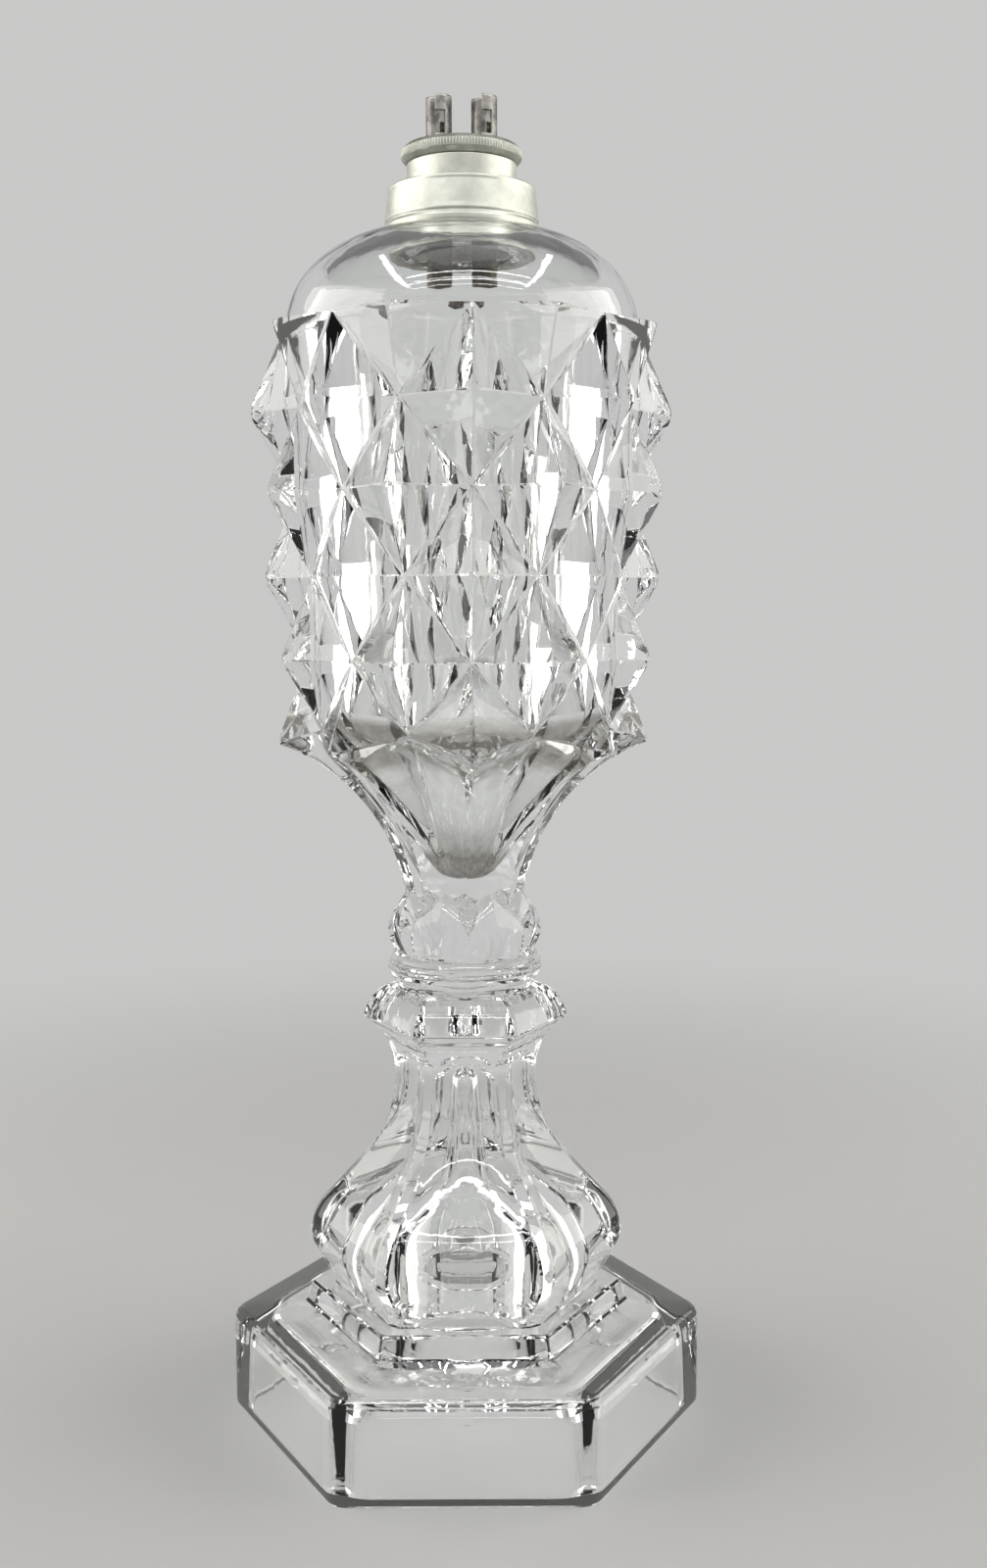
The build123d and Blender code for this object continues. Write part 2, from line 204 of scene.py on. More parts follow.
def run_tree(mesh, builder, name, **values):
    """A plain mesh made from a starting mesh by a geometry node tree."""
    holder = bpy.data.objects.new(name, mesh)
    bpy.context.scene.collection.objects.link(holder)
    modifier = holder.modifiers.new(name, "NODES")
    modifier.node_group = builder.tree
    for item in builder.tree.interface.items_tree:
        key = item.name.replace(" ", "_")
        if item.in_out == "INPUT" and key in values:
            modifier[item.identifier] = values[key]
    bpy.context.view_layer.update()
    graph = bpy.context.evaluated_depsgraph_get()
    made = bpy.data.meshes.new_from_object(holder.evaluated_get(graph))
    made.name = name
    holder.modifiers.remove(modifier)
    bpy.data.objects.remove(holder)
    return made


# Shader groups and materials

def shader_group(name, inputs, outputs):
    tree = bpy.data.node_groups.new(name, "ShaderNodeTree")
    for label, kind, value in inputs:
        socket = tree.interface.new_socket(label, in_out="INPUT", socket_type="NodeSocket" + kind)
        if value is not None:
            socket.default_value = value
    for label, kind in outputs:
        tree.interface.new_socket(label, in_out="OUTPUT", socket_type="NodeSocket" + kind)
    return tree, tree.nodes.new("NodeGroupInput"), tree.nodes.new("NodeGroupOutput")


def make_node(tree, kind, settings=None, **values):
    node = tree.nodes.new(kind)
    for key, value in (settings or {}).items():
        setattr(node, key, value)
    for key, value in values.items():
        socket = node.inputs[key.replace("_", " ")]
        if isinstance(value, bpy.types.NodeSocket):
            tree.links.new(value, socket)
        else:
            socket.default_value = value
    return node


def ramp(tree, value, low, high, from_value=0.0, to_value=1.0):
    node = make_node(tree, "ShaderNodeMapRange", {"interpolation_type": "SMOOTHSTEP"},
                     Value=value, From_Min=low, From_Max=high, To_Min=from_value, To_Max=to_value)
    return node.outputs[0]


def mix_colour(tree, factor, first, second):
    node = make_node(tree, "ShaderNodeMix", {"data_type": "RGBA"})
    for socket, value in ((node.inputs["Factor"], factor), (node.inputs[6], first), (node.inputs[7], second)):
        if isinstance(value, bpy.types.NodeSocket):
            tree.links.new(value, socket)
        else:
            socket.default_value = value
    return node.outputs[2]


def noise(tree, position, scale, detail=3.0, roughness=0.5):
    return make_node(tree, "ShaderNodeTexNoise", Vector=position, Scale=scale, Detail=detail,
                     Roughness=roughness).outputs["Fac"]


def surface_group():
    """Fine uneven skin: slow waves, small ripples and a speck mask."""
    tree, start, end = shader_group(
        "Uneven skin",
        [("Wave size", "Float", 80.0), ("Ripple size", "Float", 400.0), ("Ripple share", "Float", 0.3),
         ("Speck size", "Float", 900.0), ("Speck amount", "Float", 0.2)],
        [("Height", "Float"), ("Specks", "Float")])
    where = make_node(tree, "ShaderNodeTexCoord").outputs["Object"]
    waves = noise(tree, where, start.outputs["Wave size"], 2.0)
    ripples = noise(tree, where, start.outputs["Ripple size"], 2.0)
    scaled = make_node(tree, "ShaderNodeMath", {"operation": "MULTIPLY"})
    tree.links.new(ripples, scaled.inputs[0])
    tree.links.new(start.outputs["Ripple share"], scaled.inputs[1])
    total = make_node(tree, "ShaderNodeMath", {"operation": "ADD"})
    tree.links.new(waves, total.inputs[0])
    tree.links.new(scaled.outputs[0], total.inputs[1])
    tree.links.new(total.outputs[0], end.inputs["Height"])
    specks = noise(tree, where, start.outputs["Speck size"], 1.0)
    shown = make_node(tree, "ShaderNodeMath", {"operation": "LESS_THAN"})
    tree.links.new(specks, shown.inputs[0])
    tree.links.new(start.outputs["Speck amount"], shown.inputs[1])
    tree.links.new(shown.outputs[0], end.inputs["Specks"])
    return tree


def wear_group():
    """Where a metal is rubbed bright on its edges and dull in its hollows."""
    tree, start, end = shader_group(
        "Metal wear",
        [("Patch size", "Float", 120.0), ("Fine size", "Float", 900.0), ("Edge amount", "Float", 0.5)],
        [("Patches", "Float"), ("Fine", "Float"), ("Edges", "Float")])
    where = make_node(tree, "ShaderNodeTexCoord").outputs["Object"]
    patches = noise(tree, where, start.outputs["Patch size"], 4.0, 0.6)
    fine = noise(tree, where, start.outputs["Fine size"], 3.0, 0.6)
    point = make_node(tree, "ShaderNodeNewGeometry").outputs["Pointiness"]
    edge = ramp(tree, point, 0.5, 0.56)
    scaled = make_node(tree, "ShaderNodeMath", {"operation": "MULTIPLY"})
    tree.links.new(edge, scaled.inputs[0])
    tree.links.new(start.outputs["Edge amount"], scaled.inputs[1])
    tree.links.new(ramp(tree, patches, 0.35, 0.65), end.inputs["Patches"])
    tree.links.new(fine, end.inputs["Fine"])
    tree.links.new(scaled.outputs[0], end.inputs["Edges"])
    return tree


UNEVEN_SKIN = surface_group()
METAL_WEAR = wear_group()


def new_material(name):
    material = bpy.data.materials.new(name)
    material.use_nodes = True
    tree = material.node_tree
    return material, tree, tree.nodes["Principled BSDF"]


def use_group(tree, group, **values):
    node = tree.nodes.new("ShaderNodeGroup")
    node.node_tree = group
    for key, value in values.items():
        node.inputs[key.replace("_", " ")].default_value = value
    return node


def set_bump(tree, shader, height, strength, distance):
    bump = make_node(tree, "ShaderNodeBump", Strength=strength, Distance=distance, Height=height)
    tree.links.new(bump.outputs[0], shader.inputs["Normal"])


def clear_glass():
    """Clear glass that lets lamp light through to the floor; a path that has wandered long inside goes straight out."""
    material, tree, shader = new_material("clear pressed glass")
    skin = use_group(tree, UNEVEN_SKIN, Wave_size=90.0, Ripple_size=420.0, Ripple_share=0.12)
    shader.inputs["Base Color"].default_value = (0.965, 0.975, 0.97, 1)
    shader.inputs["Roughness"].default_value = 0.0
    shader.inputs["Transmission Weight"].default_value = 1.0
    shader.inputs["IOR"].default_value = 1.52
    set_bump(tree, shader, skin.outputs["Height"], 0.5, 0.0002)
    path = make_node(tree, "ShaderNodeLightPath")
    late = make_node(tree, "ShaderNodeMath", {"operation": "GREATER_THAN"})
    tree.links.new(path.outputs["Ray Depth"], late.inputs[0])
    late.inputs[1].default_value = 9.5
    surface = shader
    for share, tint in ((late.outputs[0], (0.88, 0.86, 0.82, 1)), (path.outputs["Is Shadow Ray"], (0.3, 0.3, 0.295, 1))):
        through = make_node(tree, "ShaderNodeBsdfTransparent", Color=tint)
        blend = tree.nodes.new("ShaderNodeMixShader")
        tree.links.new(share, blend.inputs[0])
        tree.links.new(surface.outputs[0], blend.inputs[1])
        tree.links.new(through.outputs[0], blend.inputs[2])
        surface = blend
    tree.links.new(surface.outputs[0], tree.nodes["Material Output"].inputs["Surface"])
    return material


def metal(name, dark, light, bright, roughness, patch=120.0, edge=0.6, depth=0.00004, dark_below=None):
    """Worn metal; below a given height it turns dark brown."""
    material, tree, shader = new_material(name)
    wear = use_group(tree, METAL_WEAR, Patch_size=patch, Edge_amount=edge)
    colour = mix_colour(tree, wear.outputs["Patches"], dark, light)
    colour = mix_colour(tree, wear.outputs["Edges"], colour, bright)
    # Below the given height the colour blends to dark brown over 4 mm.
    if dark_below:
        where = make_node(tree, "ShaderNodeTexCoord").outputs["Object"]
        height = make_node(tree, "ShaderNodeSeparateXYZ", Vector=where).outputs["Z"]
        colour = mix_colour(tree, ramp(tree, height, dark_below, dark_below + 0.004), (0.11, 0.098, 0.078, 1), colour)
    tree.links.new(colour, shader.inputs["Base Color"])
    shader.inputs["Metallic"].default_value = 1.0
    rough = ramp(tree, wear.outputs["Fine"], 0.3, 0.7, roughness - 0.08, roughness + 0.08)
    tree.links.new(rough, shader.inputs["Roughness"])
    set_bump(tree, shader, wear.outputs["Fine"], 0.5, depth)
    return material


def earthy(name, dark, light, size, depth, roughness=0.9, veil=False):
    """A dry grainy surface; as a veil it is patchy, and lies on the reservoir's bottom and on its shoulder."""
    material, tree, shader = new_material(name)
    where = make_node(tree, "ShaderNodeTexCoord").outputs["Object"]
    grain = noise(tree, where, size, 6.0, 0.65)
    tree.links.new(mix_colour(tree, ramp(tree, grain, 0.35, 0.65), dark, light), shader.inputs["Base Color"])
    shader.inputs["Roughness"].default_value = roughness
    if veil:
        patches = ramp(tree, noise(tree, where, size * 0.3, 4.0, 0.6), 0.3, 0.65, 0.3, 0.6)
        height = make_node(tree, "ShaderNodeSeparateXYZ", Vector=where).outputs["Z"]
        bottom = ramp(tree, height, 0.1255, 0.1310, 0.6, 0.0)
        shoulder = ramp(tree, height, 0.1470, 0.1520, 0.0, 0.5)
        fade = ramp(tree, height, 0.1545, 0.1572, 1.0, 0.0)
        share = patches
        for operation, first, second in (("MULTIPLY", shoulder, fade), ("MAXIMUM", bottom, None),
                                         ("MULTIPLY", patches, None)):
            step = make_node(tree, "ShaderNodeMath", {"operation": operation})
            tree.links.new(first, step.inputs[0])
            tree.links.new(second or share, step.inputs[1])
            share = step.outputs[0]
        tree.links.new(share, shader.inputs["Alpha"])
    set_bump(tree, shader, grain, 0.8, depth)
    return material


GLASS = clear_glass()
PEWTER = metal("satin pewter", (0.5, 0.51, 0.45, 1), (0.64, 0.65, 0.58, 1), (0.82, 0.79, 0.7, 1), 0.42)
DULL_PEWTER = metal("dull pewter", (0.3, 0.305, 0.265, 1), (0.42, 0.43, 0.38, 1), (0.6, 0.6, 0.54, 1), 0.5, 200.0)
TIN = metal("dull tin", (0.1, 0.095, 0.088, 1), (0.3, 0.285, 0.265, 1), (0.5, 0.49, 0.46, 1), 0.46, 420.0,
            dark_below=0.262)
SOLDER = metal("solder", (0.3, 0.3, 0.29, 1), (0.42, 0.42, 0.4, 1), (0.6, 0.6, 0.57, 1), 0.5, 400.0)
PLASTER = earthy("oil stained plaster", (0.2, 0.13, 0.07, 1), (0.46, 0.36, 0.24, 1), 260.0, 0.0004)
COTTON = earthy("cotton wick", (0.05, 0.045, 0.04, 1), (0.3, 0.26, 0.2, 1), 900.0, 0.0001)
RESIDUE = earthy("oil residue", (0.16, 0.14, 0.11, 1), (0.34, 0.31, 0.26, 1), 700.0, 0.0001, veil=True)


# Meshes

def mesh_from(name, points, faces, scale=MM):
    mesh = bpy.data.meshes.new(name)
    mesh.from_pydata([Vector(point) * scale for point in points], [], faces)
    mesh.update()
    return mesh


def flat_facets(mesh, crisp=0.0):
    """Normals weighed by face area, so that wide faces stay flat beside their rounded edges.

    With crisp, narrow faces that turn sharply away from their neighbours keep that share of their own normal.
    """
    normals = [Vector((0, 0, 0)) for _ in mesh.vertices]
    for face in mesh.polygons:
        for index in face.vertices:
            normals[index] += face.normal * face.area
    normals = [n.normalized() if n.length > 0 else Vector((0, 0, 1)) for n in normals]
    corners = []
    for face in mesh.polygons:
        face.use_smooth = True
        for index in face.vertices:
            apart = 1 - face.normal.dot(normals[index])
            share = crisp * smooth((apart - 0.002) / 0.012)
            corners.append(normals[index].lerp(face.normal, share).normalized())
    mesh.normals_split_custom_set(corners)


def add_piece(name, mesh, material, body, replaced=()):
    piece = bpy.data.objects.new(name, mesh)
    bpy.context.scene.collection.objects.link(piece)
    mesh.materials.clear()
    mesh.materials.append(material)
    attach(piece, body)
    if replaced:
        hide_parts(*replaced)
    return piece


def ring_stack(rings):
    """Points and faces of a skin through rings of equal count, closed at both ends."""
    count = len(rings[0])
    points = [point for ring in rings for point in ring]
    faces = []
    for row in range(len(rings) - 1):
        for i in range(count):
            j = (i + 1) % count
            faces.append((row * count + i, (row + 1) * count + i, (row + 1) * count + j, row * count + j))
    return points, faces


# The diamond lattice: a net drawn in columns and rows, which a tree bends to the font's skin

def lattice_net():
    """Facets, blunt edges and grooves of the diamonds, drawn flat in columns and rows."""
    tip, ridge, level, groove, corner = 0.04, 0.017, 0.011, 0.044, 0.009
    reach = 1 - 2.6 * corner
    points = []
    facets = {}

    def side(width):
        offsets = [tip, width * 1.5] + [width] * 4 + [width * 0.9, width * 0.75, corner]
        return [(tip + (reach - tip) * s, offset) for s, offset in zip(SIDE_STEPS, offsets)]

    across = side(level)
    along = [(x, y) for y, x in side(ridge)]
    floor = [(reach, corner)]
    for s in SIDE_STEPS[1:-1]:
        inset = groove * math.sin(math.pi * s) ** 0.6 / 2
        floor.append((1 - s - inset, s - inset))
    floor.append((corner, reach))
    half_columns = 2 * COLUMNS

    def facet(column, row, sx, sy):
        """Index lists of one facet's three sides, from its point outwards."""
        key = (column % half_columns, row, sx, sy)
        if key not in facets:
            first = len(points)
            outline = across + floor[1:-1] + along[:0:-1]
            for x, y in outline:
                points.append(((column + sx * x) % half_columns, row + sy * y, 0))
            n = len(SIDE_STEPS)
            index = list(range(first, first + len(outline)))
            a = index[:n]
            g = index[n - 1:n - 1 + n]
            b = [index[0]] + index[:2 * n - 3:-1]
            facets[key] = (a, g, b, index)
        return facets[key]

    faces = []
    valley_caps = {}
    for row in range(LATTICE_ROWS + 1):
        for column in range(half_columns):
            if (column + row) % 2 == 0:
                continue
            for sy in (-1, 1):
                if not 0 <= row + sy <= LATTICE_ROWS:
                    continue
                for sx in (-1, 1):
                    facet(column, row, sx, sy)

    def strip(first, second):
        for k in range(len(first) - 1):
            faces.append((first[k], first[k + 1], second[k + 1], second[k]))

    for (column, row, sx, sy), (a, g, b, outline) in list(facets.items()):
        faces.append(tuple(outline))
        if sx == 1:
            strip(b, facets[(column, row, -1, sy)][2])
        if sy == 1 and (column, row, sx, -1) in facets:
            strip(a, facets[(column, row, sx, -1)][0])
        other = ((column + sx) % half_columns, row + sy, -sx, -sy)
        if sy == 1:
            strip(g, list(reversed(facets[other][1])))
        at_level = ((column + sx) % half_columns, row)
        at_column = (column, row + sy)
        valley_caps.setdefault(at_level, []).append((math.atan2(sy * 0.4, -sx), a[-1]))
        valley_caps.setdefault(at_column, []).append((math.atan2(-sy, sx * 0.4), b[-1]))
    for row in range(1, LATTICE_ROWS):
        for column in range(half_columns):
            if (column + row) % 2 == 1:
                faces.append(tuple(facets[(column, row, sx, sy)][0][0]
                                   for sx, sy in ((1, 1), (-1, 1), (-1, -1), (1, -1))))
    for corners in valley_caps.values():
        faces.append(tuple(index for _, index in sorted(corners)))

    def border(row, sy):
        loop = []
        for column in range(half_columns):
            if (column + row) % 2 == 1:
                loop += facets[(column, row, 1, sy)][0]
            else:
                loop += reversed(facets[((column + 1) % half_columns, row, -1, sy)][0])
        return loop

    return points, faces, border(0, 1), border(LATTICE_ROWS, -1)


def corner_tree():
    """One corner of the pattern: an angle from its column, then radius and height."""
    build = TreeBuilder("Place on column",
                        [("Column", "Float", 0.0), ("Radius", "Float", 0.04), ("Height", "Float", 0.0),
                         ("Columns", "Float", 8.0), ("Turn", "Float", 0.0)],
                        [("Position", "Vector")])
    half_turn = build.math("DIVIDE", math.pi, build.into("Columns"))
    angle = build.math("ADD", build.math("MULTIPLY", build.into("Column"), half_turn), build.into("Turn"))
    x = build.math("MULTIPLY", build.into("Radius"), build.math("SINE", angle))
    y = build.math("MULTIPLY", build.into("Radius"), build.math("COSINE", angle))
    build.feed(build.end.inputs[0], build.xyz(x, build.math("MULTIPLY", y, -1.0), build.into("Height")))
    return build


def lattice_tree():
    """Bends the flat net to the diamond-point skin, each facet plane between its three corners."""
    sizes = [("Columns", 8.0), ("Rows", 5.0), ("Turn", 0.0), ("Row pitch", 0.017), ("Lattice height", 0.087),
             ("Valley lift", 0.004), ("Crown height", 0.238), ("Top valley radius", 0.038),
             ("Low valley radius", 0.033), ("Crown point radius", 0.043), ("Widest point radius", 0.046),
             ("Lowest point radius", 0.041)]
    build = TreeBuilder("Diamond point skin",
                        [("Net", "Geometry", None)] + [(name, "Float", value) for name, value in sizes]
                        + [("Material", "Material", None)],
                        [("Skin", "Geometry")])
    corner = corner_tree()
    m, into = build.math, build.into
    net = build.node("ShaderNodeSeparateXYZ", Vector=build.node("GeometryNodeInputPosition").outputs[0])
    u, v = net.outputs[0], net.outputs[1]
    column, row = m("FLOOR", u), m("FLOOR", v)
    across, down = m("SUBTRACT", u, column), m("SUBTRACT", v, row)
    odd = m("MODULO", m("ADD", column, row), 2.0)
    near = m("ADD", column, odd)
    far = m("SUBTRACT", m("ADD", column, 1.0), odd)
    across = m("ABSOLUTE", m("SUBTRACT", odd, across))
    wide = m("GREATER_THAN", across, down)
    next_row = m("ADD", row, 1.0)

    def valley(at_column, at_row):
        share = m("DIVIDE", at_row, into("Rows"))
        growth = m("SUBTRACT", into("Low valley radius"), into("Top valley radius"))
        radius = m("ADD", into("Top valley radius"), m("MULTIPLY", growth, share))
        lowest = m("SUBTRACT", into("Lattice height"), into("Valley lift"))
        drop = m("MINIMUM", m("MULTIPLY", at_row, into("Row pitch")), lowest)
        height = m("SUBTRACT", into("Crown height"), drop)
        return build.group(corner, at_column, radius, height, into("Columns"), into("Turn"))

    def point(at_column, at_row):
        share = m("DIVIDE", m("SUBTRACT", at_row, 1.0), m("SUBTRACT", into("Rows"), 1.0))
        growth = m("SUBTRACT", into("Lowest point radius"), into("Widest point radius"))
        radius = m("ADD", into("Widest point radius"), m("MULTIPLY", growth, share))
        at_crown = m("LESS_THAN", at_row, 0.5)
        crown_change = m("SUBTRACT", into("Crown point radius"), radius)
        radius = m("ADD", radius, m("MULTIPLY", crown_change, at_crown))
        drop = m("MULTIPLY", at_row, into("Row pitch"))
        at_foot = m("GREATER_THAN", at_row, m("SUBTRACT", into("Rows"), 0.5))
        foot_change = m("SUBTRACT", into("Lattice height"), drop)
        drop = m("ADD", drop, m("MULTIPLY", foot_change, at_foot))
        height = m("SUBTRACT", into("Crown height"), drop)
        return build.group(corner, at_column, radius, height, into("Columns"), into("Turn"))

    point_column = m("ADD", near, m("MULTIPLY", m("SUBTRACT", far, near), wide))
    point_row = m("SUBTRACT", next_row, wide)
    more, less = m("MAXIMUM", across, down), m("MINIMUM", across, down)
    shares = (m("SUBTRACT", 1.0, more), m("SUBTRACT", more, less), less)
    corners = (valley(near, row), point(point_column, point_row), valley(far, next_row))
    parts = [build.vector("SCALE", spot, share) for spot, share in zip(corners, shares)]
    position = build.vector("ADD", build.vector("ADD", parts[0], parts[1]), parts[2])
    bent = build.node("GeometryNodeSetPosition", Geometry=into("Net"), Position=position)
    build.result(bent.outputs[0], into("Material"))
    return build


def make_lattice():
    points, faces, top, bottom = lattice_net()
    net = mesh_from("diamond net", points, faces, 1.0)
    skin = run_tree(net, lattice_tree(), "diamond skin", Columns=float(COLUMNS), Rows=float(LATTICE_ROWS),
                    Turn=math.radians(FONT_TURN), Row_pitch=ROW_PITCH * MM,
                    Lattice_height=LATTICE_HEIGHT * MM, Valley_lift=VALLEY_LIFT * MM,
                    Crown_height=CROWN * MM, Top_valley_radius=TOP_VALLEY * MM,
                    Low_valley_radius=LOW_VALLEY * MM, Crown_point_radius=CROWN_POINT * MM,
                    Widest_point_radius=WIDEST_POINT * MM, Lowest_point_radius=LOWEST_POINT * MM,
                    Material=GLASS)
    places = [vertex.co / MM for vertex in skin.vertices]
    faces = [tuple(face.vertices) for face in skin.polygons]
    return places, faces, [places[i] for i in top], [places[i] for i in bottom]


# Rings of the glass body, each with 144 points that start at the front

def angles_of(ring):
    found = []
    for x, y, _ in ring:
        angle = math.degrees(math.atan2(x, -y))
        while found and angle < found[-1] - 1e-6:
            angle += 360
        found.append(angle)
    return found


def panel_rings(lines, ring):
    """Rings between ridge and crease lines, with each ring's points shared out like the first ring's."""
    start = angles_of(ring)
    pitch = 180 / COLUMNS
    rings = []
    for level in range(len(lines[0])):
        made = []
        for angle in start:
            at = (angle - FONT_TURN) / pitch
            column = math.floor(at)
            share = at - column
            r0, z0 = lines[column % 2][level]
            r1, z1 = lines[(column + 1) % 2][level]
            p0 = Vector(place(FONT_TURN + column * pitch, r0, z0))
            p1 = Vector(place(FONT_TURN + (column + 1) * pitch, r1, z1))
            made.append(tuple(p0 + (p1 - p0) * share))
        rings.append(made)
    return rings


def round_ring(radius, height, angles):
    return [place(angle, radius, height) for angle in angles]


def blend_angles(first, second, share):
    return [a + (b - a) * share for a, b in zip(first, second)]


def hex_ring(corner_radius, height, rib=RIB_WIDTH, hollow=0.0, blunt=0.35):
    """Six flat ribs with flat or scooped sides between them, starting at the middle of the front.

    Each scoop ends below the flute's top in an arch, which the rings cut level by level.
    """
    half_turn = math.degrees(math.atan(rib / 2 / corner_radius))
    reach = math.hypot(corner_radius, rib / 2)
    edge = Vector(place(30 - half_turn, reach, height))
    inside = edge + Vector((-edge.x, 0, 0)).normalized() * blunt
    side = []
    flat_steps = 10
    for k in range(flat_steps + 1):
        x = inside.x * (k / flat_steps)
        away = (x / edge.x) ** 2
        scooped = smooth((FLUTE_TOP - ARCH_RISE * away - height) / ARCH_SOFT)
        side.append(Vector((x, edge.y + hollow * (1 - away) * scooped, height)))
    toward = Vector(place(30, corner_radius, height))
    side.append(edge + (toward - edge).normalized() * min(blunt, rib / 4))
    half = side + [toward]
    turned = []
    for sector in range(6):
        turn = Matrix.Rotation(math.radians(60 * sector), 3, "Z")
        mirror = [Vector((-p.x, p.y, p.z)) for p in half]
        back = Matrix.Rotation(math.radians(60), 3, "Z")
        outline = half + [back @ p for p in reversed(mirror[1:-1])]
        outline = outline[:24]
        turned += [tuple(turn @ p) for p in outline]
    return turned


def plate_ring(across_flats, height, corner):
    """A hexagon with rounded corners, starting at the middle of the front."""
    apothem = across_flats / 2
    centre = Vector((0, 0, 0)) + Vector(place(30, (apothem - corner) / math.cos(math.radians(30)), 0))
    flat_end = centre.x
    half = []
    steps = (0, 0.2, 0.4, 0.6, 0.75, 0.87, 0.95, 1.0)
    for step in steps:
        half.append(Vector((flat_end * step, -apothem, height)))
    for angle in (6, 13, 20, 25, 30):
        spot = Vector(place(angle, corner, 0))
        half.append(Vector((centre.x + spot.x, centre.y + spot.y, height)))
    turned = []
    back = Matrix.Rotation(math.radians(60), 3, "Z")
    mirror = [Vector((-p.x, p.y, p.z)) for p in half]
    outline = half + [back @ p for p in reversed(mirror[1:-1])]
    for sector in range(6):
        turn = Matrix.Rotation(math.radians(60 * sector), 3, "Z")
        turned += [tuple(turn @ p) for p in outline[:24]]
    return turned


RESERVOIR_FLOOR = [tuple(point) for point in curve_points(
    [(0.6, 122.7), (3.2, 123.6), (6.0, 126.9), (9.6, 131.8), (14.7, 138.6), (21.8, 147.5), (26.8, 153.2),
     (28.6, 157.5)], 26)]


def font_rings(top, bottom):
    """The reservoir, neck and dome above the lattice, and the taper and knop below it."""
    crown_angles = angles_of(top)
    even = [360 * i / AROUND + FONT_TURN for i in range(AROUND)]
    above = []
    for r, z in RESERVOIR_FLOOR:
        above.append(round_ring(r, z, even))
    for k in range(1, 11):
        share = k / 11
        above.append(round_ring(28.6 + (34.1 - 28.6) * share, 157.5 + (CROWN - 157.5) * share, even))
    for k in range(13):
        turn = math.radians(90 * k / 12)
        above.append(round_ring(12 + 22.1 * math.cos(turn), CROWN + 17 * math.sin(turn), even))
    for r, z in ((11.2, 255.3), (10.9, 255.8), (10.9, 260.0), (10.9, 265.2), (11.3, 265.8), (12.3, 265.95),
                 (13.2, 265.8), (13.6, 265.2), (13.6, 261.0), (13.6, 258.9), (14.0, 258.3), (16.6, 258.0),
                 (16.9, 257.95)):
        above.append(round_ring(r, z, even))
    dome_line = []
    for k in range(1, 19):
        turn = math.radians(79 - 79 * k / 18)
        dome_line.append((12 + 25.3 * math.cos(turn), CROWN + 20.2 * math.sin(turn)))
    for k, (r, z) in enumerate(dome_line):
        above.append(round_ring(r, z, blend_angles(even, crown_angles, smooth((k + 1) / 18))))
    for pull, lift in ((0.9, 0.0), (0.45, -0.12)):
        land = []
        for x, y, _ in top:
            radius = math.hypot(x, y)
            shrink = (radius - pull) / radius
            land.append((x * shrink, y * shrink, CROWN + lift))
        above.append(land)

    below = []
    ridge_top = (LOWEST_POINT, CROWN - LATTICE_HEIGHT)
    crease_top = (LOW_VALLEY, CROWN - LATTICE_HEIGHT + VALLEY_LIFT)
    levels = 17
    ridge = arc_points(ridge_top, (22.0, KNOP_TOP + 20.9), (12.85, KNOP_TOP - 0.6), levels)
    crease = arc_points(crease_top, (19.3, KNOP_TOP + 20.9), (12.45, KNOP_TOP + 2.4), levels)
    ridge_start = [(ridge_top[0] - 0.5, ridge_top[1] - 0.25)] + ridge[1:]
    crease_start = [(crease_top[0] - 0.3, crease_top[1] - 0.4)] + crease[1:]
    below += panel_rings((ridge_start, crease_start), bottom)
    knop_ridge = arc_points((13.35, KNOP_TOP - 1.1), (16.95, WAFER_TOP + 5.1), (14.8, WAFER_TOP + 0.1), 14)
    flat = math.cos(math.radians(180 / COLUMNS))
    knop_crease = arc_points((12.9, KNOP_TOP + 1.9), (16.95 * flat, WAFER_TOP + 5.1),
                             (14.8 * flat, WAFER_TOP + 0.1), 14)
    below += panel_rings((knop_ridge, knop_crease), bottom)
    return above, below


RIB_KNOTS = ((30.4, 31.5), (32.2, 34.6), (34.4, 38.7), (34.6, 43.0), (32.2, 47.9), (28.0, 52.4), (22.8, 58.2),
             (18.7, 63.8), (16.4, 70.2), (15.7, 77.0), (16.0, 81.0), (16.9, 83.6))
CORE_KNOTS = ((19.0, 17.5), (18.9, 22.0), (18.3, 31.0), (17.0, 38.0), (15.0, 41.4), (11.0, 45.4), (7.6, 48.6),
              (5.8, 54.0), (5.1, 65.8), (4.2, 76.0), (3.2, 78.6), (1.4, 80.1), (0.25, 80.3))


